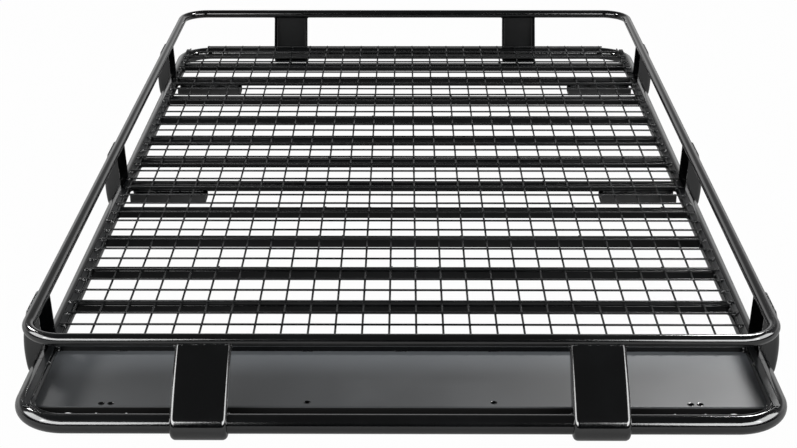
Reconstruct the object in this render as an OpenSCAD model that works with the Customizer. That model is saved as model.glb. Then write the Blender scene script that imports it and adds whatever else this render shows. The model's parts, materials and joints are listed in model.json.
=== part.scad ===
// Welded steel roof rack: a lower and an upper tube rail joined by ten pressed
// uprights, with cross members, a wire mesh floor and a deflector sheet in the nose.
// Millimetres, +X right, front towards -Y, +Z up, standing on the uprights' feet.

/* [Lower rail] */
// Outside diameter of the lower rail tube
lower_d = 33.7; // [30:0.1:38]
// Width between the centre lines of the lower side tubes
lower_w = 1288; // [1200:1:1400]
// Length between the centre lines of the lower front and rear tubes
lower_l = 2188; // [2150:1:2240]
// Centre line radius of the lower corner bends
lower_bend_r = 80; // [65:1:100]

/* [Upper rail] */
// Outside diameter of the upper rail tube
upper_d = 22.2; // [19:0.1:27]
// Width between the centre lines of the upper side tubes
upper_w = 1298; // [1290:1:1310]
// How far the upper front tube stands behind the lower one
upper_setback = 102; // [90:1:120]
// How far the upper rear tube stands behind the lower one
upper_overhang = 53; // [45:1:70]
// Height of the upper centre line over the lower one
rail_rise = 105; // [90:1:130]
// Centre line radius of the upper corner bends
upper_bend_r = 68; // [50:1:90]

/* [Uprights] */
// Width of every upright along the rail
upright_w = 96; // [80:1:110]
// Thickness of the pressed plate
upright_t = 3; // [2:0.5:4]
// Outside radius of the two long edges
upright_edge_r = 9; // [6:0.5:12]
// Space between the lower tube and the plate wrapped round it
wrap_space = 7.6; // [4:0.1:12]
// How far the side flanges reach inside the line between the tubes
flange_lap = 8; // [5:0.5:10]
// Distance of the front and rear uprights from the middle
end_upright_x = 336; // [250:1:400]
// Distance of the first side upright behind the lower front tube
side_upright_start = 250; // [220:1:280]
// Distance between the side uprights
side_upright_pitch = 811; // [780:1:830]
// Bow radius of the side uprights
side_bow_r = 260; // [220:5:400]
// Bow radius of the front and rear uprights
end_bow_r = 700; // [500:10:1200]
// Angle past the bottom at which the wrap under the lower tube ends
wrap_end = 12; // [5:1:30]
// Slope of the plate's end on the upper tube at the sides
side_top_angle = 8; // [0:1:20]
// Slope of the plate's end on the upper tube at the front
front_top_angle = -10; // [-25:1:0]
// Slope of the plate's end on the upper tube at the rear
rear_top_angle = -20; // [-35:1:-5]

/* [Cross members] */
// Width of a cross member along the rack
member_w = 20; // [16:1:26]
// Height of a cross member
member_h = 20; // [16:1:24]
// Radius of its long edges
member_edge_r = 3; // [1:0.5:5]
// Distance of the first cross member behind the lower front tube
first_member = 273; // [260:1:280]
// Distance of the cross member over the middle mounts
middle_member = 1083; // [1040:1:1120]
// Distance of the ninth cross member
ninth_member = 1551; // [1530:1:1570]
// Distance of the cross member over the rear mounts
rear_member = 1887; // [1850:1:1910]
// Distance of the last cross member
last_member = 2026; // [2010:1:2040]

/* [Mesh floor] */
// Pitch of the wires both ways
mesh_pitch = 50; // [48:0.5:54]
// Thickness of a wire across its flats
wire_d = 4; // [3:0.5:5]
// How far the upper wires are sunk into the lower ones by the welds
wire_sink = 0.7; // [0.5:0.1:1]
// Width of the flat strip on each side tube
strip_w = 11; // [8:1:12]
// Thickness of that strip
strip_t = 3; // [2:0.5:3.5]
// Distance of its outer edge inside the centre of the side tube
strip_in = 5.5; // [4:0.5:6]
// Distance of its ends from the centres of the front and rear tubes
strip_end = 28; // [20:1:60]

/* [Deflector sheet] */
// Thickness of the sheet
sheet_t = 2; // [1.5:0.5:3]
// Height of the sheet's upper face over the centre of the lower tube
sheet_z = 1; // [-2:0.1:4]
// Distance of the front fold behind the centre of the lower front tube
fold_back = 55; // [50:1:65]
// Depth of the downturned front flange
flange_drop = 27.5; // [24:0.5:28]
// Outside radius of the fold
fold_r = 5; // [4:0.5:6]
// Diameter of the half-round cable notch near each end of the flange
notch_d = 32; // [20:1:36]
// Distance of the notches from the middle
notch_x = 568; // [550:1:580]
// Diameter of the small holes beside the notch
small_hole_d = 7.5; // [5:0.5:9]
// Depth of the small holes under the upper face of the sheet
small_hole_drop = 15.7; // [12:0.1:18]
// Distance of the first small hole from the notch's centre
small_hole_x = 48; // [44:1:60]
// Distance between the two small holes
small_hole_pitch = 52; // [30:1:60]
// Diameter of the lamp holes in the flat of the sheet
lamp_hole_d = 10.5; // [8:0.5:12]
// Distance of the middle lamp holes from the middle
lamp_x = 160; // [120:1:220]
// Distance of the middle lamp holes behind the flange's face
lamp_back = 17; // [13:0.5:30]
// Distance of a pair of lamp holes from the middle
lamp_pair_x = 504; // [440:1:530]
// Distance between the two holes of a pair
lamp_pitch = 16; // [14:0.5:30]
// Distance of the pairs behind the flange's face
lamp_pair_back = 11.5; // [11.5:0.5:30]

/* [Mounting channels] */
// Length of a mounting channel
mount_l = 173; // [150:1:180]
// Width of a mounting channel
mount_w = 50; // [40:1:54]
// Depth of a mounting channel under its cross member
mount_h = 23.5; // [14:0.5:24]
// Plate thickness of a mounting channel
mount_t = 3; // [2:0.5:4]
// Outside radius along its two lower edges
mount_r = 5; // [4.5:0.5:8]
// Width of the mounting slots
slot_w = 11; // [8:0.5:13]
// Length of the mounting slots from end to end
slot_l = 45; // [30:1:50]

/* [Fits] */
// Clearance left for the weld between two pieces
weld_gap = 0.3; // [0.2:0.05:0.5]

/* [Hidden] */

round_fn = 64;
edge_fn = 32;
over = 1;
upright_depth = 60;
bow_spare = 2;
lower_r = lower_d / 2;
upper_r = upper_d / 2;
wrap_r = lower_r + wrap_space + upright_t;
lower_z = wrap_r;
upper_z = lower_z + rail_rise;
upper_l = lower_l - upper_setback + upper_overhang;

// The whole rack is centred on the origin in plan.
rear_reach = upper_overhang + upper_r;
front_reach = wrap_r;
shift_y = -(lower_l + rear_reach - front_reach) / 2;
side_x = lower_w / 2;

member_top = lower_z + lower_r;
member_steps = 5;
ninth_steps = 3;
rear_steps = 2;
wire_r = wire_d / 2 / cos(30);
low_wire_z = member_top + weld_gap + wire_d / 2;
high_wire_z = low_wire_z + wire_d - wire_sink;
strip_z = member_top + weld_gap;
strip_out = side_x - strip_in;
straight_end = lower_l - lower_bend_r;
half_cols = floor(side_x / mesh_pitch + 0.5);
first_row = first_member + member_w / 2;
rows = floor((lower_l + mesh_pitch / 4 - first_row) / mesh_pitch) + 1;
panel_rows = ceil(rows / 3);
mesh_start = first_member - member_w / 2 + 2;
wire_past = 6;
steel_black = [0.09, 0.09, 0.1];
wire_black = [0.16, 0.16, 0.17];
sheet_grey = [0.3, 0.3, 0.32];

// Place on a run of equal bays between two members
function bay_y(from, to, step, steps) = from + step * (to - from) / steps;
function member_y(i) =
    i <= member_steps
    ? bay_y(first_member, middle_member, i, member_steps)
    : i <= member_steps + ninth_steps
    ? bay_y(middle_member, ninth_member, i - member_steps, ninth_steps)
    : i <= member_steps + ninth_steps + rear_steps
    ? bay_y(ninth_member, rear_member, i - member_steps - ninth_steps, rear_steps)
    : last_member;
function col_x(i) = (i + 0.5) * mesh_pitch;
function row_y(k) = first_row + k * mesh_pitch;
// Reach of the bend's centre line, along or across, at a distance past its start
function bend_reach(past) = sqrt(max(0, pow(lower_bend_r, 2) - pow(max(0, past), 2)));
function row_half(y) = min(strip_out - 1, side_x - lower_bend_r + bend_reach(y - straight_end));
function col_end(x) = straight_end + bend_reach(x - side_x + lower_bend_r) + wire_past;

// Moves from lengths measured behind the lower front tube to the rack's own frame
module place() {
    translate([0, shift_y, 0]) children();
}

// A straight tube between two points of one level line
module tube_x(x0, x1, y, z, r) {
    translate([x0, y, z]) rotate([0, 90, 0]) cylinder(r = r, h = x1 - x0, $fn = round_fn);
}
module tube_y(x, y0, y1, z, r) {
    translate([x, y0, z]) rotate([-90, 0, 0]) cylinder(r = r, h = y1 - y0, $fn = round_fn);
}
// A quarter bend about a vertical axis, starting at the given angle
module tube_bend(x, y, z, bend_r, r, start) {
    translate([x, y, z]) rotate([0, 0, start]) rotate_extrude(angle = 90, $fn = round_fn)
        translate([bend_r, 0]) circle(r = r, $fn = round_fn);
}

// One half of a rail loop, on the right. The butt weld in front lies on its own side
// and the one behind lies past the middle on the other side.
module rail_half(w, y0, y1, z, bend_r, r) {
    x = w / 2;
    tube_x(end_upright_x, x - bend_r, y0, z, r);
    tube_bend(x - bend_r, y0 + bend_r, z, bend_r, r, 270);
    tube_y(x, y0 + bend_r, y1 - bend_r, z, r);
    tube_bend(x - bend_r, y1 - bend_r, z, bend_r, r, 0);
    tube_x(-end_upright_x, x - bend_r, y1, z, r);
}
module lower_rail_half() {
    color(steel_black) place()
        rail_half(lower_w, 0, lower_l, lower_z, lower_bend_r, lower_r);
}
module top_rail_half() {
    color(steel_black) place()
        rail_half(upper_w, upper_setback, lower_l + upper_overhang, upper_z, upper_bend_r, upper_r);
}
// Half a turn about the middle of the rail loop gives the other half.
module opposite(y0, y1) {
    mid = (y0 + y1) / 2 + shift_y;
    translate([0, 2 * mid, 0]) rotate([0, 0, 180]) children();
}

// Section of an upright: radius along X, width along Y, outer corners rounded
module upright_section(r_in, r_out, width, edge_r) {
    translate([r_in, -width / 2]) square([r_out - edge_r - r_in, width]);
    translate([r_in, edge_r - width / 2]) square([r_out - r_in, width - 2 * edge_r]);
    for (s = [-1, 1])
        translate([r_out - edge_r, s * (width / 2 - edge_r)]) circle(r = edge_r, $fn = edge_fn);
}
// The section turned from the X axis through an angle about the Z axis
module swept_section(angle, r_in, r_out, inset) {
    rotate_extrude(angle = angle, $fn = round_fn)
        upright_section(r_in, r_out - inset, upright_w - 2 * inset, upright_edge_r - inset);
}
// An upright in its own plane: X points out of the rack, Y is up, and Z runs along
// the rail. The lower tube is at the origin, and the upper one at [lean, rail_rise].
// The plate is an arc that leaves the wrap round the lower tube without a kink and
// passes through the point where it ends on the upper tube.
module upright_profile(lean, bow_r, top_angle, top_reach) {
    top = [lean + top_reach * cos(top_angle), rail_rise + top_reach * sin(top_angle)];
    inner_r = bow_r - wrap_r;
    spread = acos((inner_r * inner_r + top * top - bow_r * bow_r) / (2 * inner_r * norm(top)));
    // Direction in which bow and wrap meet, seen from the lower tube
    meet = atan2(top[1], top[0]) + spread - 180;
    bow = -inner_r * [cos(meet), sin(meet)];
    bow_angle = atan2(top[1] - bow[1], top[0] - bow[0]) - meet + bow_spare;
    wrap_angle = 90 + wrap_end + meet;
    span = norm([lean, rail_rise]);
    difference() {
        rotate([0, 0, meet]) difference() {
            union() {
                difference() {
                    translate([-inner_r, 0, 0])
                        swept_section(bow_angle, bow_r - upright_depth, bow_r, 0);
                    // Inner edge of the flanges, beside the line between the tubes, and
                    // nothing on the inner side past the upper tube
                    rotate([0, 0, atan2(rail_rise, lean) - meet])
                        for (cut = [[-upright_depth, flange_lap], [span + upper_r / 2, upper_r / 4]])
                            translate([cut[0], cut[1], -upright_w])
                                cube([span + 2 * upright_depth, 2 * upright_depth, 2 * upright_w]);
                }
                mirror([0, 1, 0]) swept_section(wrap_angle, lower_r, wrap_r, 0);
            }
            translate([-inner_r, 0, 0])
                swept_section(bow_angle + 1, bow_r - upright_depth - over, bow_r, upright_t);
            mirror([0, 1, 0]) swept_section(wrap_angle + 1, lower_r / 2, wrap_r, upright_t);
        }
        translate([lean, rail_rise, -upright_w]) rotate([0, 0, top_angle])
            translate([-upright_depth, 0, 0]) cube([2 * upright_depth, upright_depth, 2 * upright_w]);
        translate([0, 0, -upright_w])
            cylinder(r = lower_r + weld_gap, h = 2 * upright_w, $fn = round_fn);
        translate([lean, rail_rise, -upright_w])
            cylinder(r = upper_r + weld_gap, h = 2 * upright_w, $fn = round_fn);
    }
}
module stand_upright(x, y, facing) {
    color(steel_black) place() translate([x, y, lower_z]) rotate([0, 0, facing])
        rotate([90, 0, 0]) children();
}
module front_upright(side) {
    stand_upright(side * end_upright_x, 0, -90)
        upright_profile(-upper_setback, end_bow_r, front_top_angle, upper_r + upright_t / 2);
}
module rear_upright(side) {
    stand_upright(side * end_upright_x, lower_l, 90)
        upright_profile(upper_overhang, end_bow_r, rear_top_angle, upper_r + weld_gap + upright_t);
}
// The side uprights' flanges are notched round the strip that carries the wires' ends.
module side_upright(side, i) {
    notch = [strip_in - weld_gap, strip_w + 2 * weld_gap];
    stand_upright(side * side_x, side_upright_start + i * side_upright_pitch, 90 - 90 * side)
        difference() {
            upright_profile((upper_w - lower_w) / 2, side_bow_r, side_top_angle,
                            upper_r + weld_gap + upright_t);
            translate([-notch[0] - notch[1], lower_r, -upright_w])
                cube([notch[1], strip_t + 2 * weld_gap, 2 * upright_w]);
        }
}

// A rounded bar between the side tubes, coped round them at both ends
module bar_section(w, h, r) {
    translate([-w / 2, r - h / 2]) square([w, h - 2 * r]);
    translate([r - w / 2, -h / 2]) square([w - 2 * r, h]);
    for (s = [-1, 1], t = [-1, 1])
        translate([s * (w / 2 - r), t * (h / 2 - r)]) circle(r = r, $fn = edge_fn);
}
module side_tube_cuts(y0, y1, z) {
    for (s = [-1, 1]) tube_y(s * side_x, y0, y1, z, lower_r + weld_gap);
}
module cross_member(i) {
    y = member_y(i - 1);
    color(steel_black) place() difference() {
        translate([0, y, member_top - member_h / 2]) rotate([0, 90, 0]) rotate([0, 0, 90])
            linear_extrude(height = lower_w - lower_r, center = true)
                bar_section(member_w, member_h, member_edge_r);
        side_tube_cuts(y - member_w, y + member_w, lower_z);
    }
}

// One panel of the welded mesh floor: wires along the rack below, wires across on top
module wire_x(x0, x1, y, z) {
    translate([x0, y, z]) rotate([0, 90, 0]) rotate([0, 0, 30])
        cylinder(r = wire_r, h = x1 - x0, $fn = 6);
}
module wire_y(x, y0, y1, z) {
    translate([x, y0, z]) rotate([-90, 0, 0]) cylinder(r = wire_r, h = y1 - y0, $fn = 6);
}
module mesh_panel(p) {
    first = p * panel_rows;
    last = min(rows, first + panel_rows) - 1;
    y0 = p == 0 ? mesh_start : row_y(first) - mesh_pitch / 2;
    y1 = row_y(last) + mesh_pitch / 2;
    color(wire_black) place() union() {
        for (i = [0 : half_cols - 1], s = [-1, 1])
            wire_y(s * col_x(i), y0, min(y1, col_end(col_x(i))), low_wire_z);
        for (k = [first : last])
            wire_x(-row_half(row_y(k)), row_half(row_y(k)), row_y(k), high_wire_z);
    }
}

// The flat strip on the inner top of a side tube, which carries the wires' ends
module side_strip(side) {
    color(steel_black) place() translate([side * (strip_out - strip_w / 2), strip_end, strip_z])
        translate([-strip_w / 2, 0, 0]) cube([strip_w, lower_l - 2 * strip_end, strip_t]);
}

// The deflector: a flat sheet with a rounded fold and a flange turned down in front
module sheet_profile() {
    rear = first_member - member_w / 2;
    top = lower_z + sheet_z;
    translate([fold_back + fold_r, top - sheet_t]) square([rear - fold_back - fold_r, sheet_t]);
    translate([fold_back, top - flange_drop]) square([sheet_t, flange_drop - fold_r]);
    translate([fold_back + fold_r, top - fold_r]) intersection() {
        difference() {
            circle(r = fold_r, $fn = edge_fn);
            circle(r = fold_r - sheet_t, $fn = edge_fn);
        }
        translate([-fold_r - over, 0]) square([fold_r + over, fold_r + over]);
    }
}
// A hole through the flange, and one through the flat of the sheet
module flange_hole(x, z, d) {
    translate([x, fold_back - over, z]) rotate([-90, 0, 0])
        cylinder(d = d, h = sheet_t + 2 * over, $fn = round_fn);
}
module lamp_hole(x, back) {
    translate([x, fold_back + back, lower_z + sheet_z - sheet_t - over])
        cylinder(d = lamp_hole_d, h = sheet_t + 2 * over, $fn = round_fn);
}
module deflector_sheet() {
    top = lower_z + sheet_z;
    color(sheet_grey) place() difference() {
        rotate([0, 0, 90]) rotate([90, 0, 0])
            linear_extrude(height = lower_w - lower_r, center = true) sheet_profile();
        side_tube_cuts(lower_bend_r, first_member, lower_z);
        for (side = [0, 1]) mirror([side, 0, 0]) {
            tube_bend(side_x - lower_bend_r, lower_bend_r, lower_z, lower_bend_r,
                      lower_r + weld_gap, 270);
            flange_hole(notch_x, top - flange_drop, notch_d);
            for (i = [0, 1])
                flange_hole(notch_x - small_hole_x - i * small_hole_pitch,
                            top - small_hole_drop, small_hole_d);
            lamp_hole(lamp_x, lamp_back);
            for (s = [-1, 1]) lamp_hole(lamp_pair_x + s * lamp_pitch / 2, lamp_pair_back);
        }
    }
}

// A slotted channel under a cross member, open on top and at its inner end
module mounting_channel(side, member) {
    out = side_x - lower_r - weld_gap;
    z = member_top - member_h - mount_h;
    color(steel_black) place() translate([0, member_y(member - 1), z])
        mirror([side < 0 ? 1 : 0, 0, 0]) difference() {
            translate([out - mount_l, 0, 0]) rotate([90, 0, 90])
                linear_extrude(height = mount_l) channel_section();
            for (x = [out - mount_l / 4, out - mount_l * 3 / 4])
                translate([x, 0, -over]) slot_cut();
        }
}
// A round-cornered trough with flanges up to its full height
module channel_section() {
    difference() {
        trough(mount_w / 2, mount_r, 0);
        trough(mount_w / 2 - mount_t, mount_r - mount_t, mount_t);
    }
}
module trough(half, r, base) {
    translate([-half, base + r]) square([2 * half, mount_h - r]);
    translate([r - half, base]) square([2 * (half - r), mount_h - base]);
    for (s = [-1, 1]) translate([s * (half - r), base + r]) circle(r = r, $fn = edge_fn);
}
module slot_cut() {
    half = (slot_l - slot_w) / 2;
    for (s = [-1, 1]) translate([s * half, 0, 0])
        cylinder(d = slot_w, h = mount_t + 2 * over, $fn = round_fn);
    translate([-half, -slot_w / 2, 0]) cube([2 * half, slot_w, mount_t + 2 * over]);
}

lower_rail_half();  // lower_rail_right
opposite(0, lower_l) lower_rail_half();  // lower_rail_left
top_rail_half();  // top_rail_right
opposite(upper_setback, lower_l + upper_overhang) top_rail_half();  // top_rail_left
front_upright(-1);  // front_upright_left
front_upright(1);  // front_upright_right
rear_upright(-1);  // rear_upright_left
rear_upright(1);  // rear_upright_right
side_upright(-1, 0);  // side_upright_front_left
side_upright(1, 0);  // side_upright_front_right
side_upright(-1, 1);  // side_upright_middle_left
side_upright(1, 1);  // side_upright_middle_right
side_upright(-1, 2);  // side_upright_rear_left
side_upright(1, 2);  // side_upright_rear_right
cross_member(1);  // cross_member_1
cross_member(2);  // cross_member_2
cross_member(3);  // cross_member_3
cross_member(4);  // cross_member_4
cross_member(5);  // cross_member_5
cross_member(6);  // cross_member_6
cross_member(7);  // cross_member_7
cross_member(8);  // cross_member_8
cross_member(9);  // cross_member_9
cross_member(10);  // cross_member_10
cross_member(11);  // cross_member_11
cross_member(12);  // cross_member_12
mesh_panel(0);  // mesh_front
mesh_panel(1);  // mesh_middle
mesh_panel(2);  // mesh_rear
side_strip(-1);  // side_strip_left
side_strip(1);  // side_strip_right
deflector_sheet();
mounting_channel(-1, 1);  // mounting_channel_front_left
mounting_channel(1, 1);  // mounting_channel_front_right
mounting_channel(-1, 6);  // mounting_channel_middle_left
mounting_channel(1, 6);  // mounting_channel_middle_right
mounting_channel(-1, 11);  // mounting_channel_rear_left
mounting_channel(1, 11);  // mounting_channel_rear_right
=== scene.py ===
# Looks for the welded roof rack: gloss black coat, round floor wires, weld beads, studio light.
# Metres, +X right, front towards -Y, +Z up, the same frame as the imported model.
import json
import math
import random

import bmesh
import bpy
from mathutils import Matrix, Vector, noise


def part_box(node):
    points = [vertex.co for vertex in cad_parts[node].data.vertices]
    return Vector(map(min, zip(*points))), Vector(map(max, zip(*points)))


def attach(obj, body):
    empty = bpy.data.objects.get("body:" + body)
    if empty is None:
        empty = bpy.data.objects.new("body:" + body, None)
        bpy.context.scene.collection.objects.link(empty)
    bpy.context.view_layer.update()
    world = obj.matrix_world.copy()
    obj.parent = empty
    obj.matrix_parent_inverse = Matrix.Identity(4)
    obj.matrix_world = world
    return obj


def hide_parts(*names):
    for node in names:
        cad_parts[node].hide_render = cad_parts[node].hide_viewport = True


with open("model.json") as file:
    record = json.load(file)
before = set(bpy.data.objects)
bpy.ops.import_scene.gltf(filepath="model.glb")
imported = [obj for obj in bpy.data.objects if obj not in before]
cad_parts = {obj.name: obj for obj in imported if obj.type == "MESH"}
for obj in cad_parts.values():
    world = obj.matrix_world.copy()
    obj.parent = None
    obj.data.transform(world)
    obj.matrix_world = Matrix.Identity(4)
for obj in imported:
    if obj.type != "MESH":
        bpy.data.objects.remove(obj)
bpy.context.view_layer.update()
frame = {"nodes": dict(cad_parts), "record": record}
nodes = frame["nodes"]
random.seed(27)
up = Vector((0, 0, 1))
hands = ((-1, "Left"), (1, "Right"))

# Sizes that several pieces share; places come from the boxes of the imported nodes
rack = {"lowerR": 0.01685, "upperR": 0.0111, "lowerBend": 0.080, "upperBend": 0.068,
        "lap": 0.336}  # lap: from the middle to where a rail's halves meet
lowBox = [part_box("lower_rail_left"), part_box("lower_rail_right")]
topBox = [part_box("top_rail_left"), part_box("top_rail_right")]
sideX = lowBox[1][1].x - rack["lowerR"]
topX = topBox[1][1].x - rack["upperR"]
frontY = lowBox[0][0].y + rack["lowerR"]
rearY = lowBox[0][1].y - rack["lowerR"]
topFrontY = topBox[0][0].y + rack["upperR"]
topRearY = topBox[0][1].y - rack["upperR"]
lowZ = lowBox[0][0].z + rack["lowerR"]
topZ = topBox[0][0].z + rack["upperR"]
floorZ = lowZ + rack["lowerR"]  # top of the cross members
memberBoxes = [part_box("cross_member_%d" % n) for n in range(1, 13)]
memberYs = [(low.y + high.y) / 2 for low, high in memberBoxes]
memberHalf = (memberBoxes[0][1].y - memberBoxes[0][0].y) / 2
memberBase = memberBoxes[0][0].z
print("frame loaded", len(nodes), "nodes")


# Wraps one shader socket, so that maths on values reads as plain expressions
class Signal:
    def __init__(self, finish, socket):
        self.finish = finish
        self.socket = socket

    def maths(self, operation, first, second):
        return self.finish.add("ShaderNodeMath", {"operation": operation}, {0: first, 1: second})

    def __add__(self, other):
        return self.maths("ADD", self, other)

    def __radd__(self, other):
        return self.maths("ADD", other, self)

    def __sub__(self, other):
        return self.maths("SUBTRACT", self, other)

    def __rsub__(self, other):
        return self.maths("SUBTRACT", other, self)

    def __mul__(self, other):
        return self.maths("MULTIPLY", self, other)

    def __rmul__(self, other):
        return self.maths("MULTIPLY", other, self)

    def between(self, low, high):
        return self.finish.add("ShaderNodeMapRange", {"interpolation_type": "SMOOTHSTEP"},
                               {"Value": self, "From Min": low, "From Max": high})

    def output(self, name):  # another output of the same node
        return Signal(self.finish, self.socket.node.outputs[name])


# One material or world: add() takes a node's type, its settings, then values or links
class Finish:
    def __init__(self, owner):
        owner.use_nodes = True
        self.owner = owner
        self.nodes = owner.node_tree.nodes
        self.links = owner.node_tree.links

    def feed(self, socket, value):
        if isinstance(value, Signal):
            self.links.new(value.socket, socket)
        else:
            socket.default_value = value

    def add(self, kind, settings=None, sockets=None, output=0):
        node = self.nodes.new(kind)
        for key, value in (settings or {}).items():
            setattr(node, key, value)
        for key, value in (sockets or {}).items():
            self.feed(node.inputs[key], value)
        return Signal(self, node.outputs[output])

    def shade(self, **sockets):
        for key, value in sockets.items():
            self.feed(self.nodes["Principled BSDF"].inputs[key.replace("_", " ")], value)

    def place(self):
        return self.add("ShaderNodeTexCoord", output="Object")

    def split(self, vector):
        return self.add("ShaderNodeSeparateXYZ", None, {"Vector": vector})

    def grain(self, where, scale, detail, rough=0.5):
        return self.add("ShaderNodeTexNoise", None,
                        {"Vector": where, "Scale": scale, "Detail": detail, "Roughness": rough})

    def blend(self, factor, first, second):
        return self.add("ShaderNodeMix", {"data_type": "RGBA"},
                        {0: factor, 6: first, 7: second}, 2)

    def bump(self, height, distance, under=None):
        sockets = {"Height": height, "Distance": distance, "Strength": 1}
        if under:
            sockets["Normal"] = under
        return self.add("ShaderNodeBump", None, sockets)

    # Shows one shader where the factor is 0 and the other where it is 1
    def cover(self, factor, first, second):
        mixed = self.add("ShaderNodeMixShader", None, {0: factor, 1: first, 2: second})
        self.feed(self.nodes["Material Output"].inputs["Surface"], mixed)

    def principled(self):
        return Signal(self, self.nodes["Principled BSDF"].outputs[0])


def tint(value, warm=0.0):
    return (value * (1 + warm), value, value * (1 - warm), 1)


# Black powder coat, then what each surface has of its own
coat = {"black": 0.0014, "dusty": 0.0045, "warm": -0.1, "cloudSize": 7, "cloudFrom": 0.35,
        "cloudTo": 0.75, "cloudShare": 0.6, "peelSize": 420, "grainSize": 2600,
        "speckFrom": 0.66, "speckTo": 0.78, "speckShare": 0.4, "grainRough": 0.03,
        "haze": 0.06, "specular": 0.4, "lacquer": 0}
surfaces = {
    "railCoat": {"gloss": 0.10, "peel": 0.00005, "fine": 0.000008, "specular": 0.7,
                 "lacquer": 0.8},
    "pressedCoat": {"gloss": 0.08, "peel": 0.00008, "fine": 0.00001, "specular": 0.8,
                    "lacquer": 1},
    "memberCoat": {"gloss": 0.09, "peel": 0.00007, "fine": 0.000012, "specular": 0.35},
    "wireCoat": {"gloss": 0.18, "peel": 0.00006, "fine": 0.00001, "black": 0.003,
                 "dusty": 0.008, "specular": 0.7},
    "innerCoat": {"gloss": 0.34, "peel": 0.00012, "fine": 0.00002, "black": 0.0018,
                  "dusty": 0.004, "specular": 0.1},
    "stripCoat": {"gloss": 0.30, "peel": 0.00012, "fine": 0.00003, "black": 0.004,
                  "dusty": 0.01, "specular": 0.3},
    "sheetCoat": {"gloss": 0.44, "peel": 0.00006, "fine": 0.000012, "black": 0.018,
                  "dusty": 0.025, "haze": 0.05, "specular": 1},
    "beadCoat": {"gloss": 0.08, "peel": 0.0004, "fine": 0.00003, "black": 0.003,
                 "dusty": 0.01, "haze": 0.05, "specular": 0.7}}


# Faint orange peel, fine grain, settled dust and soft handling marks
def blackCoat(name):
    look = {**coat, **surfaces[name]}
    finish = Finish(bpy.data.materials.new(name))
    where = finish.place()
    clouds = finish.grain(where, look["cloudSize"], 4, 0.6)
    cloudy = clouds.between(look["cloudFrom"], look["cloudTo"])
    peelWave = finish.grain(where, look["peelSize"], 1, 0.4)
    fineGrain = finish.grain(where, look["grainSize"], 2, 0.6)
    specks = fineGrain.between(look["speckFrom"], look["speckTo"])
    finish.colour = finish.blend(cloudy * look["cloudShare"] + specks * look["speckShare"],
                                 tint(look["black"], look["warm"]),
                                 tint(look["dusty"], look["warm"]))
    waves = finish.bump(peelWave, look["peel"])
    finish.shade(Base_Color=finish.colour,
                 Roughness=look["gloss"] + cloudy * look["haze"] + fineGrain * look["grainRough"],
                 Normal=finish.bump(fineGrain, look["fine"], waves),
                 Specular_IOR_Level=look["specular"], Coat_Weight=look["lacquer"],
                 Coat_Roughness=look["gloss"])
    return finish


# The deflector sheet: satin, with painted sheen that makes its base colour lighter towards the
# rear edge, and painted shade, dark and dull, on the part below its top face
sheet = {"paintedSheenFrom": 0.11, "paintedSheenTo": 0.01, "paintedSheenTone": 0.085, "paintedSheenWarm": -0.08,
         "paintedShadeFrom": 0.0022, "paintedShadeTo": 0.0012, "paintedShadeTone": 0.004, "paintedShadeRough": 0.8,
         "paintedShadeSpecular": 0.08}


def dressSheet(finish):
    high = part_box("deflector_sheet")[1]
    place = finish.split(finish.place())
    # painted sheen: the base colour turns lighter towards the rear edge, standing in for reflected
    # back light
    rear = place.output("Y").between(high.y - sheet["paintedSheenFrom"], high.y - sheet["paintedSheenTo"])
    finish.shade(Base_Color=finish.blend(rear, finish.colour,
                                         tint(sheet["paintedSheenTone"], sheet["paintedSheenWarm"])))
    # painted shade: below the top face the sheet turns to a dark, dull, barely reflecting shader,
    # standing in for shade on the flange
    above = place.output("Z").between(high.z - sheet["paintedShadeFrom"], high.z - sheet["paintedShadeTo"])
    paintedShade = finish.add("ShaderNodeBsdfPrincipled", None,
                      {"Base Color": tint(sheet["paintedShadeTone"]), "Roughness": sheet["paintedShadeRough"],
                       "Specular IOR Level": sheet["paintedShadeSpecular"]})
    finish.cover(above, paintedShade, finish.principled())


finishes = {name: blackCoat(name) for name in surfaces}
dressSheet(finishes["sheetCoat"])
print("finishes made")


# Angles evenly spaced round a circle
def turns(count):
    return [math.tau * n / count for n in range(count)]


# A tube of rings along a path; every new piece is gathered in one bmesh
def tubeRings(mesh, points, radii, sides, flat=1.0, lift=up):
    rings = []
    last = len(points) - 1
    for n, point in enumerate(points):
        along = (points[min(n + 1, last)] - points[max(n - 1, 0)]).normalized()
        side = along.cross(lift)
        if side.length < 0.05:  # the path runs along the lift
            side = along.cross(Vector((1, 0, 0)))
        side.normalize()
        out = side.cross(along).normalized()
        rings.append([mesh.verts.new(point + radii[n] * (math.cos(a) * side
                                                         + flat * math.sin(a) * out))
                      for a in turns(sides)])
    for first, second in zip(rings, rings[1:]):
        for s in range(sides):
            t = (s + 1) % sides
            mesh.faces.new((first[s], first[t], second[t], second[s]))
    mesh.faces.new(list(reversed(rings[0])))
    mesh.faces.new(rings[-1])


# A small rounded lump of weld
def blob(mesh, centre, size, turn=None, rounds=6, levels=4):
    turn = turn or Matrix.Identity(3)
    top = mesh.verts.new(centre + turn @ Vector((0, 0, size[2])))
    base = mesh.verts.new(centre - turn @ Vector((0, 0, size[2])))
    rows = []
    for level in range(1, levels):
        high = math.pi * level / levels
        rows.append([mesh.verts.new(centre + turn @ Vector((
            size[0] * math.sin(high) * math.cos(a), size[1] * math.sin(high) * math.sin(a),
            size[2] * math.cos(high)))) for a in turns(rounds)])
    for r in range(rounds):
        t = (r + 1) % rounds
        mesh.faces.new((top, rows[0][r], rows[0][t]))
        mesh.faces.new((base, rows[-1][t], rows[-1][r]))
        for upper, lower in zip(rows, rows[1:]):
            mesh.faces.new((upper[r], lower[r], lower[t], upper[t]))


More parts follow.
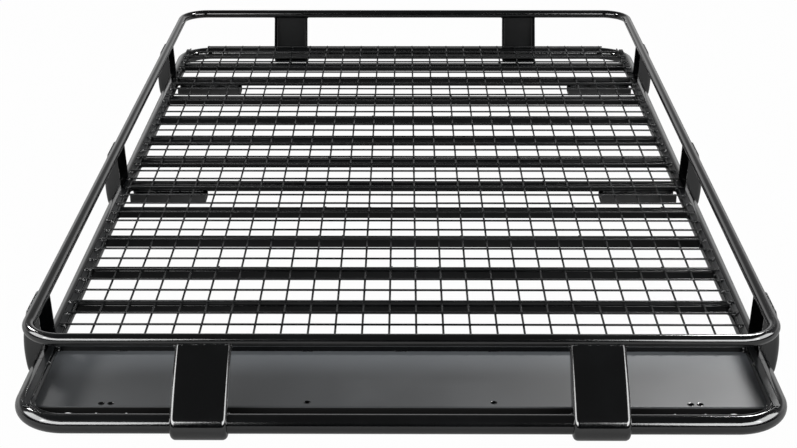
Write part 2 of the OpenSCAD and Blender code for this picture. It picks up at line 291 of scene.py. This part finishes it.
# Ends a piece: smooth, sharp only at real edges, riding on the rack
def addPiece(name, mesh, coatName, slot, *replaced):
    bmesh.ops.recalc_face_normals(mesh, faces=mesh.faces)
    data = bpy.data.meshes.new(name)
    mesh.to_mesh(data)
    mesh.free()
    data.materials.append(finishes[coatName].owner)
    for face in data.polygons:
        face.use_smooth = True
    data.set_sharp_from_angle(angle=math.radians(50))
    piece = bpy.data.objects.new(name, data)
    bpy.context.scene.collection.objects.link(piece)
    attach(piece, "root")
    if replaced:
        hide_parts(*replaced)


# Points along a path at even steps
def evenly(points, step):
    lengths = [(b - a).length for a, b in zip(points, points[1:])]
    total = sum(lengths)
    count = max(2, round(total / step))
    result = []
    for n in range(count + 1):
        left = total * n / count
        for (a, b), length in zip(zip(points, points[1:]), lengths):
            if left <= length or b is points[-1]:
                result.append(a.lerp(b, min(1, left / max(length, 1e-9))))
                break
            left -= length
    return result


bead = {"ripple": 0.0021, "steps": 5, "sides": 9, "wander": 0.00035, "core": 0.80,
        "scale": 0.22, "uneven": 0.22, "endShare": 0.45, "endStep": 0.2}


# A weld bead: overlapping scales along a path, a little uneven
def weldBead(mesh, path, radius, flat=0.8, lift=up):
    points = evenly(path, bead["ripple"] / bead["steps"])
    radii = []
    seed = random.random() * 50
    for n in range(len(points)):
        part = (n % bead["steps"]) / bead["steps"]
        uneven = noise.noise(Vector((n * 0.09, seed, 0)))
        ends = min(1, bead["endShare"] + bead["endStep"] * min(n, len(points) - 1 - n))
        radii.append(radius * ends * (bead["core"] + bead["scale"] * math.sqrt(1 - part * part)
                                      + bead["uneven"] * uneven))
        drift = Vector([noise.noise(Vector((n * 0.05, seed, k))) for k in (3.1, 7.7, 12.3)])
        points[n] = points[n] + drift * bead["wander"]
    tubeRings(mesh, points, radii, bead["sides"], flat, lift)


# The floor: wires along the rack below, wires across on top, spot welded where they cross
wire = {"pitch": 0.050, "radius": 0.0021, "sunk": 0.0007, "gap": 0.0003, "sides": 10,
        "columns": 13, "stripEdge": 0.0075, "past": 0.006, "cutBack": 0.0095,
        "firstBack": 0.2785, "frontRows": 18, "frontPitch": 0.0507, "middleRows": 12,
        "middlePitch": 0.0484, "rearRows": 9, "lastIn": 0.011, "skew": 0.006, "bow": 0.0004,
        "bowStep": 0.10, "spotR": 0.0024, "spotMore": 0.0005, "spotHigh": 0.0016, "spotIn": 0.002}
lowWireZ = floorZ + wire["gap"] + wire["radius"]
highWireZ = lowWireZ + 2 * wire["radius"] - wire["sunk"]
firstRow = frontY + wire["firstBack"]
bendStart = rearY - rack["lowerBend"]
columns = range(-wire["columns"], wire["columns"])


# The mesh came in three lots, so its rows differ a little in pitch
def meshRows():
    rows = [firstRow]
    rearPitch = (rearY - wire["lastIn"] - firstRow - (wire["frontRows"] - 1) * wire["frontPitch"]
                 - wire["middleRows"] * wire["middlePitch"]) / wire["rearRows"]
    for count, pitch in ((wire["frontRows"] - 1, wire["frontPitch"]),
                         (wire["middleRows"], wire["middlePitch"]),
                         (wire["rearRows"], rearPitch)):
        rows += [rows[-1] + (n + 1) * pitch for n in range(count)]
    return rows


# The long wires run very slightly askew
def askew(y):
    return wire["skew"] * (0.5 - (y - firstRow) / (rearY - firstRow))


def bendReach(past):
    return math.sqrt(max(0, rack["lowerBend"] ** 2 - max(0, past) ** 2))


def rowHalf(y):
    return min(sideX - wire["stripEdge"],
               sideX - rack["lowerBend"] + bendReach(y - bendStart + wire["cutBack"]))


def wireBar(mesh, start, end):
    bow = (end - start).cross(up).normalized() * wire["bow"]
    count = max(2, round((end - start).length / wire["bowStep"]))
    points = [start.lerp(end, n / count) + bow * noise.noise(start * 9 + Vector((n * 0.7, 0, 0)))
              for n in range(count + 1)]
    tubeRings(mesh, points, [wire["radius"]] * len(points), wire["sides"])


def makeFloor():
    for name in ("front", "middle", "rear"):
        mesh = bmesh.new()
        low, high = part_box("mesh_" + name)
        rows = [y for y in meshRows() if low.y <= y < high.y]
        for column in columns:
            x = (column + 0.5) * wire["pitch"]
            past = abs(x) - sideX + rack["lowerBend"]
            end = min(high.y, bendStart + bendReach(past) + wire["past"])
            wireBar(mesh, Vector((x + askew(low.y), low.y, lowWireZ)),
                    Vector((x + askew(end), end, lowWireZ)))
            for y in rows:
                if y < end - wire["spotIn"] and abs(x) < rowHalf(y) - wire["spotIn"]:
                    spread = wire["spotR"] + wire["spotMore"] * random.random()
                    blob(mesh, Vector((x + askew(y), y, (lowWireZ + highWireZ) / 2)),
                         (spread, spread, wire["spotHigh"]), levels=3)
        for y in rows:
            half = rowHalf(y)
            wireBar(mesh, Vector((-half, y, highWireZ)), Vector((half, y, highWireZ)))
        addPiece("floorWires" + name.capitalize(), mesh, "wireCoat", "mesh_wire",
                 "mesh_" + name)
    print("floor wires made")


# Tacks that hold the wires: their ends on the side strips, and spots on the cross members
tack = {"endSize": (0.0068, 0.0034, 0.0030), "endCount": 4, "endIn": 0.002, "spread": 0.005,
        "endHigh": 0.001, "endTurn": 1.2, "spotShare": 0.35, "spotSize": (0.0026, 0.0045, 0.0012),
        "spotSide": 0.0022, "spotBack": 0.004, "spotHigh": 0.0004, "spotTurn": 0.9}


def makeTacks():
    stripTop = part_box("side_strip_left")[1].z
    for side, word in hands:
        mesh = bmesh.new()
        for y in meshRows():
            if y > bendStart:
                continue
            for n in range(tack["endCount"]):
                x = side * (rowHalf(y) - tack["endIn"] - 2 * tack["spread"] * random.random())
                sizes = [s * random.uniform(0.6, 1.3) for s in tack["endSize"]]
                slant = random.uniform(-tack["endTurn"], tack["endTurn"])
                blob(mesh, Vector((x, y + tack["spread"] * random.uniform(-1, 1),
                                   stripTop + tack["endHigh"] * random.random())),
                     sizes, Matrix.Rotation(slant, 3, "Z"), 8, 5)
        addPiece("wireEndTacks" + word, mesh, "wireCoat", "frame_coat")
    mesh = bmesh.new()
    wide, long, high = tack["spotSize"]
    for y in memberYs:
        for column in columns:
            if random.random() > tack["spotShare"]:
                continue
            x = (column + 0.5) * wire["pitch"] + askew(y)
            back = random.choice((-1, 1, 1))
            slant = random.uniform(-tack["spotTurn"], tack["spotTurn"])
            place = Vector((x + random.choice((-1, 1)) * tack["spotSide"],
                            y + back * (memberHalf - tack["spotBack"]),
                            floorZ + tack["spotHigh"]))
            blob(mesh, place, (wide, long * random.uniform(0.7, 1.3), high),
                 Matrix.Rotation(slant, 3, "Z"), 8, 5)
    addPiece("wireSpotWelds", mesh, "beadCoat", "frame_coat")
    print("tacks made")


# Rails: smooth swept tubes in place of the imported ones, each half as its node
rail = {"sides": 72, "bendSteps": 40, "seamSteps": 60, "seamSink": 0.0009, "seamR": 0.0008}


def halfLoop(width, y0, y1, z, bendR):
    points = [Vector((rack["lap"], y0, z))]
    for centreY, start in ((y0 + bendR, -90), (y1 - bendR, 0)):
        for n in range(rail["bendSteps"] + 1):
            angle = math.radians(start + 90 * n / rail["bendSteps"])
            points.append(Vector((width - bendR + bendR * math.cos(angle),
                                  centreY + bendR * math.sin(angle), z)))
    points.append(Vector((-rack["lap"], y1, z)))
    return points


def makeRails():
    loops = (("lower", sideX, frontY, rearY, lowZ, rack["lowerBend"], rack["lowerR"]),
             ("top", topX, topFrontY, topRearY, topZ, rack["upperBend"], rack["upperR"]))
    for level, width, y0, y1, z, bendR, radius in loops:
        right = halfLoop(width, y0, y1, z, bendR)
        middle = (y0 + y1) / 2
        left = [Vector((-p.x, 2 * middle - p.y, p.z)) for p in right]
        for word, points in (("right", right), ("left", left)):
            mesh = bmesh.new()
            tubeRings(mesh, points, [radius] * len(points), rail["sides"])
            addPiece("%sRailTube%s" % (level, word.capitalize()), mesh, "railCoat", "rail_coat",
                     "%s_rail_%s" % (level, word))
        # butt welds between the halves, dressed nearly flush
        ringR = radius - rail["seamSink"]
        for word, x, y in (("Front", rack["lap"], y0), ("Rear", -rack["lap"], y1)):
            mesh = bmesh.new()
            ring = [Vector((x, y + ringR * math.cos(a), z + ringR * math.sin(a)))
                    for a in turns(rail["seamSteps"]) + [math.tau]]
            weldBead(mesh, ring, rail["seamR"], 1, Vector((1, 0, 0)))
            addPiece("%sRailSeam%s" % (level, word), mesh, "beadCoat", "rail_coat")
    print("rails made")


# Welds at both ends of every upright; tilt in degrees reaches just over the plate's upper end
upright = {"half": 0.048, "edgeR": 0.009, "beadR": 0.0028, "topSink": 0.45, "flangeShare": 0.8,
           "clear": 0.0004, "tilt": {"front": -21, "rear": -32, "side": -2}, "runFrom": 4,
           "runTo": 74, "footFrom": 62, "footTo": 14, "runSteps": 12}


# Name, foot on the lower rail, way out, head on the upper rail, and tilt of each upright
def uprightPlaces():
    for name in nodes:
        if "upright" not in name:
            continue
        low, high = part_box(name)
        x, y = (low.x + high.x) / 2, (low.y + high.y) / 2
        if name.startswith("side"):
            side = 1 if high.x > 0 else -1
            yield (name, Vector((side * sideX, y, lowZ)), Vector((side, 0, 0)),
                   Vector((side * topX, y, topZ)), upright["tilt"]["side"])
        elif name.startswith("front"):
            yield (name, Vector((x, frontY, lowZ)), Vector((0, -1, 0)),
                   Vector((x, topFrontY, topZ)), upright["tilt"]["front"])
        else:
            yield (name, Vector((x, rearY, lowZ)), Vector((0, 1, 0)),
                   Vector((x, topRearY, topZ)), upright["tilt"]["rear"])


def makeUprightWelds():
    for name, foot, outward, head, tilt in uprightPlaces():
        along = outward.cross(up)
        mesh = bmesh.new()
        # along the plate's upper end
        spot = math.radians(tilt)
        reach = rack["upperR"] + upright["beadR"] * upright["topSink"]
        line = head + outward * reach * math.cos(spot) + up * reach * math.sin(spot)
        span = upright["half"] - upright["edgeR"] * 0.5
        weldBead(mesh, [line - along * span, line + along * span], upright["beadR"], 0.75, outward)
        # round the tubes at the two flanges
        runs = ((head, 1, rack["upperR"], tilt - upright["runFrom"], tilt - upright["runTo"]),
                (foot, -1, rack["lowerR"], upright["footFrom"], upright["footTo"]))
        for side in (-1, 1):
            for centre, way, radius, start, stop in runs:
                ring = []
                for n in range(upright["runSteps"] + 1):
                    angle = math.radians(start + (stop - start) * n / upright["runSteps"])
                    ring.append(centre + outward * way * radius * math.cos(angle)
                                + up * radius * math.sin(angle)
                                + along * side * (upright["half"] + upright["clear"]))
                weldBead(mesh, ring, upright["beadR"] * upright["flangeShare"], 1, along)
        addPiece("weld_" + name, mesh, "beadCoat", "frame_coat")
    print("upright welds made")


# Beads at the cross members' ends, and three short runs on each side of a channel
joint = {"beadR": 0.0017, "steps": 8, "sink": 0.0006, "clear": 0.0003, "below": 0.004,
         "channelR": 0.003, "runs": 3, "runIn": 0.006, "runPitch": 0.055, "runLength": 0.051,
         "channelClear": 0.0006, "channelDrop": 0.0005}


def tubeSideX(z):
    height = min(abs(z - lowZ), rack["lowerR"])
    return sideX - math.sqrt(rack["lowerR"] ** 2 - height * height)


def makeMemberWelds():
    for number, y in enumerate(memberYs, 1):
        mesh = bmesh.new()
        for side in (-1, 1):
            for face in (-1, 1):
                run = []
                for n in range(joint["steps"] + 1):
                    z = memberBase + (floorZ - joint["below"] - memberBase) * n / joint["steps"]
                    run.append(Vector((side * (tubeSideX(z) - joint["sink"]),
                                       y + face * (memberHalf + joint["clear"]), z)))
                weldBead(mesh, run, joint["beadR"], 1, Vector((0, 1, 0)))
        addPiece("weld_cross_member_%d" % number, mesh, "beadCoat", "frame_coat")
    for place in ("front", "middle", "rear"):
        for side, word in hands:
            name = "mounting_channel_%s_%s" % (place, word.lower())
            low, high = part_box(name)
            mesh = bmesh.new()
            middle = (low.y + high.y) / 2
            z = memberBase + joint["channelDrop"]
            for face in (-1, 1):
                y = middle + face * (memberHalf + joint["channelClear"])
                for n in range(joint["runs"]):
                    x = low.x + joint["runIn"] + n * joint["runPitch"]
                    weldBead(mesh, [Vector((x, y, z)), Vector((x + joint["runLength"], y, z))],
                             joint["channelR"])
            addPiece("weld_" + name, mesh, "beadCoat", "frame_coat")
    print("member and channel welds made")


# Where the strip, the first cross member, the side tube and the sheet meet.
# The foot's points run inwards, forwards and down from the strip's front end.
nose = {"knobSize": (0.0034, 0.0032, 0.0028), "knobs": 5, "knobIn": 0.004, "knobMore": 0.002,
        "knobAhead": 0.003, "knobStep": 0.004, "knobDrop": 0.002,
        "foot": ((0.004, 0.001, 0.0012), (-0.006, -0.001, 0.0006), (-0.018, -0.010, -0.0045),
                 (-0.030, -0.014, -0.0095)),
        "footR": 0.0024, "edgeOut": 0.0002, "edgeHigh": 0.0004, "edgeR": 0.0011,
        "edgeBack": 0.01, "edgeFront": 0.004, "stitches": 3, "stitchPitch": 0.17,
        "stitchHalf": 0.011, "stitchR": 0.0014, "stitchClear": 0.0006, "stitchHigh": 0.0004}


def makeNoseWelds():
    mesh = bmesh.new()
    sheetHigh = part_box("deflector_sheet")[1]
    stripLow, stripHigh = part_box("side_strip_right")
    stripMiddle = (stripLow.x + stripHigh.x) / 2
    memberFront = memberYs[0] - memberHalf
    for side in (-1, 1):
        for n in range(nose["knobs"]):
            x = side * (stripLow.x - nose["knobIn"] - nose["knobMore"] * random.random())
            y = memberFront - nose["knobAhead"] - nose["knobStep"] * n * random.random()
            blob(mesh, Vector((x, y, floorZ - nose["knobDrop"] * n)), nose["knobSize"],
                 None, 9, 6)
        # foot at the strip's front end, running on round the bend of the tube
        weldBead(mesh, [Vector((side * (stripMiddle + x), stripLow.y + y, floorZ + z))
                        for x, y, z in nose["foot"]], nose["footR"])
        # along the strip's outer edge, in the hollow over the tube
        weldBead(mesh, [Vector((side * (stripHigh.x + nose["edgeOut"]), y,
                                floorZ + nose["edgeHigh"]))
                        for y in (memberYs[0] + nose["edgeBack"],
                                  stripLow.y + nose["edgeFront"])], nose["edgeR"])
    addPiece("noseWelds", mesh, "beadCoat", "frame_coat")
    # stitch welds of the sheet's rear edge to the first cross member
    mesh = bmesh.new()
    for n in range(-nose["stitches"], nose["stitches"] + 1):
        weldBead(mesh, [Vector((n * nose["stitchPitch"] + end * nose["stitchHalf"],
                                memberFront - nose["stitchClear"],
                                sheetHigh.z + nose["stitchHigh"])) for end in (-1, 1)],
                 nose["stitchR"])
    addPiece("sheetStitchWelds", mesh, "beadCoat", "sheet_coat")
    print("nose welds made")


# Painted shade in the sheet's lamp holes: a thin rim above and a closed black barrel below, a dark
# cup that stands in for the shade under the sheet
holeShade = {"depth": 0.013, "wall": 0.0007, "rim": 0.0009, "clear": 0.00015, "lip": 0.0003,
          "rimTop": 0.0002, "sides": 32}


def makeHoleShades():
    mesh = bmesh.new()
    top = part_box("deflector_sheet")[1].z
    for mount in frame["record"]["mounts"]:
        if not mount["name"].startswith("lamp_holes"):
            continue
        outer = mount["dims"]["hole_r_mm"] / 1000 - holeShade["clear"]
        inner = outer - holeShade["wall"]
        bottom = top - holeShade["depth"]
        for side in (-1, 1):
            x = mount["pos_m"][0] + side * mount["dims"]["spacing_x_mm"] / 2000
            y = mount["pos_m"][1]
            rings = []
            for reach, z in ((inner, bottom + holeShade["wall"]), (inner, top),
                             (outer, top + holeShade["lip"]),
                             (outer + holeShade["rim"], top + holeShade["rimTop"]),
                             (outer, top - holeShade["rimTop"]), (outer, bottom)):
                rings.append([mesh.verts.new((x + reach * math.cos(a), y + reach * math.sin(a), z))
                              for a in turns(holeShade["sides"])])
            for first, second in zip(rings, rings[1:]):
                for n in range(holeShade["sides"]):
                    mesh.faces.new((first[n], first[n - 1], second[n - 1], second[n]))
            # closed ends: the barrel's bottom is the painted shade seen through each hole
            mesh.faces.new(rings[0])
            mesh.faces.new(rings[-1])
    addPiece("lampHoleShades", mesh, "pressedCoat", "sheet_coat")
    print("inserts made")


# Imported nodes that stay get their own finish, and their cut edges a small round
edge = {"round": 0.0009, "steps": 2, "angle": 40}
nodeCoats = {"rear_upright": "innerCoat",  # hollow side to the camera, thinly coated
             "member": "memberCoat", "strip": "stripCoat", "sheet": "sheetCoat",
             "rail": "railCoat", "mesh": "wireCoat", "": "pressedCoat"}


def dressNodes():
    for name, node in nodes.items():
        if "rail" not in name and "mesh" not in name:
            rounding = node.modifiers.new("edgeRound", "BEVEL")
            rounding.width = edge["round"]
            rounding.segments = edge["steps"]
            rounding.limit_method = "ANGLE"
            rounding.angle_limit = math.radians(edge["angle"])
            rounding.harden_normals = True
        coatName = next(nodeCoats[word] for word in nodeCoats if word in name)
        node.data.materials.clear()
        node.data.materials.append(finishes[coatName].owner)
    print("packed nodes dressed")


dressNodes()
makeRails()
makeFloor()
makeTacks()
makeUprightWelds()
makeMemberWelds()
makeNoseWelds()
makeHoleShades()

# Studio floor: pale and plain, white to the camera; it keeps the rack's shadow
ground = {"size": 60, "cells": 8, "drop": 0.0006, "tone": 0.22, "vary": 1.05, "show": 0.985,
          "gloss": 0.08, "rough": 0.9, "specular": 0.1, "grainSize": 1.5}


def makeGround():
    finish = Finish(bpy.data.materials.new("studioFloor"))
    faint = finish.grain(finish.place(), ground["grainSize"], 3)
    finish.shade(Base_Color=finish.blend(faint, tint(ground["tone"]),
                                         tint(ground["tone"] * ground["vary"])),
                 Roughness=ground["rough"], Specular_IOR_Level=ground["specular"])
    path = finish.add("ShaderNodeLightPath")
    seen = (path.output("Is Camera Ray") * ground["show"]
            + path.output("Is Glossy Ray") * ground["gloss"]
            + path.output("Is Transmission Ray") * ground["show"])
    glow = finish.add("ShaderNodeEmission", None, {"Color": (1, 1, 1, 1), "Strength": 1})
    finish.cover(seen, finish.principled(), glow)
    mesh = bmesh.new()
    bmesh.ops.create_grid(mesh, x_segments=ground["cells"], y_segments=ground["cells"],
                          size=ground["size"] / 2)
    data = bpy.data.meshes.new("studioFloor")
    mesh.to_mesh(data)
    mesh.free()
    data.materials.append(finish.owner)
    plane = bpy.data.objects.new("studioFloor", data)
    plane.location = (0, 0, -ground["drop"])
    bpy.context.scene.collection.objects.link(plane)


# Sky: bright low down behind the rack, dim overhead and on the camera's side
sky = {"front": 0.004, "horizon": 0.15, "lowBand": 0.45, "overhead": 0.05,
       "backFrom": -0.15, "backTo": 0.55, "bandFrom": 0.22, "bandTo": 0.36,
       "highFrom": 0.42, "highTo": 0.80}


def makeSky():
    world = bpy.data.worlds.new("studioSky")
    bpy.context.scene.world = world
    finish = Finish(world)
    spot = finish.split(finish.add("ShaderNodeTexCoord", output="Generated"))
    back = spot.output("Y").between(sky["backFrom"], sky["backTo"])
    high = spot.output("Z").between(sky["highFrom"], sky["highTo"])
    band = 1 - spot.output("Z").between(sky["bandFrom"], sky["bandTo"])
    level = sky["front"] + back * (sky["horizon"] - sky["front"] + band * sky["lowBand"])
    level = level * (1 - high) + high * sky["overhead"]
    background = finish.nodes["Background"]
    finish.feed(background.inputs["Color"], (1, 1, 1, 1))
    finish.feed(background.inputs["Strength"], level)


# Softboxes: a corner pair and a side pair placed from the front tube, two behind the rack
softboxes = {
    "corner": {"place": (1.95, -2.1, 1.55), "aim": (0.5, 0, 0.1), "size": (2.5, 1.3),
               "power": 78},
    "side": {"place": (2.7, -0.3, 1.55), "aim": (0.4, 0, 0.1), "size": (2.2, 1.4),
             "power": 55},
    "back": {"Left": (-2.4, 1.3, 2.2), "Right": (1.3, 1.3, 2.2), "aim": (0, -0.6, 0),
             "size": (0.5, 0.5), "power": 42}}


def softbox(name, place, aim, size, power):
    light = bpy.data.lights.new(name, "AREA")
    light.shape = "RECTANGLE"
    light.size, light.size_y = size
    light.energy = power
    lamp = bpy.data.objects.new(name, light)
    lamp.location = place
    lamp.rotation_euler = (Vector(aim) - Vector(place)).to_track_quat("-Z", "Y").to_euler()
    bpy.context.scene.collection.objects.link(lamp)


def makeLights():
    for side, word in hands:
        for name in ("corner", "side"):
            box = softboxes[name]
            place, aim = ((side * x, frontY + y, z) for x, y, z in (box["place"], box["aim"]))
            softbox(name + "Box" + word, place, aim, box["size"], box["power"])
    box = softboxes["back"]
    for word in ("Left", "Right"):
        softbox("backBox" + word, box[word], box["aim"], box["size"], box["power"])


# Camera as in the photograph: a short telephoto a little above the nose
view = {"lens": 71.16, "sensor": 36, "far": 200, "pitch": 22.536, "yaw": 0.4437, "roll": 0.109,
        "place": (0.0157, -2.3034, 1.31765)}  # place is from the front tube's centre line


def makeCamera():
    pitch, yaw, roll = (math.radians(view[key]) for key in ("pitch", "yaw", "roll"))
    forward = Vector((-math.sin(yaw) * math.cos(pitch), math.cos(yaw) * math.cos(pitch),
                      -math.sin(pitch)))
    right = Vector((math.cos(yaw), math.sin(yaw), 0))
    down = forward.cross(right)
    right, down = (math.cos(roll) * right + math.sin(roll) * down,
                   math.cos(roll) * down - math.sin(roll) * right)
    place = Vector(view["place"]) + Vector((0, frontY, lowZ))
    data = bpy.data.cameras.new("photoCamera")
    data.lens = view["lens"]
    data.sensor_width = view["sensor"]
    data.sensor_fit = "HORIZONTAL"
    data.clip_end = view["far"]
    camera = bpy.data.objects.new("photoCamera", data)
    turn = Matrix((right, -down, -forward)).transposed().to_4x4()
    camera.matrix_world = Matrix.Translation(place) @ turn
    bpy.context.scene.collection.objects.link(camera)
    bpy.context.scene.camera = camera


makeGround()
makeSky()
makeLights()
makeCamera()
bpy.context.scene.view_settings.view_transform = "Standard"
print("studio and camera made")
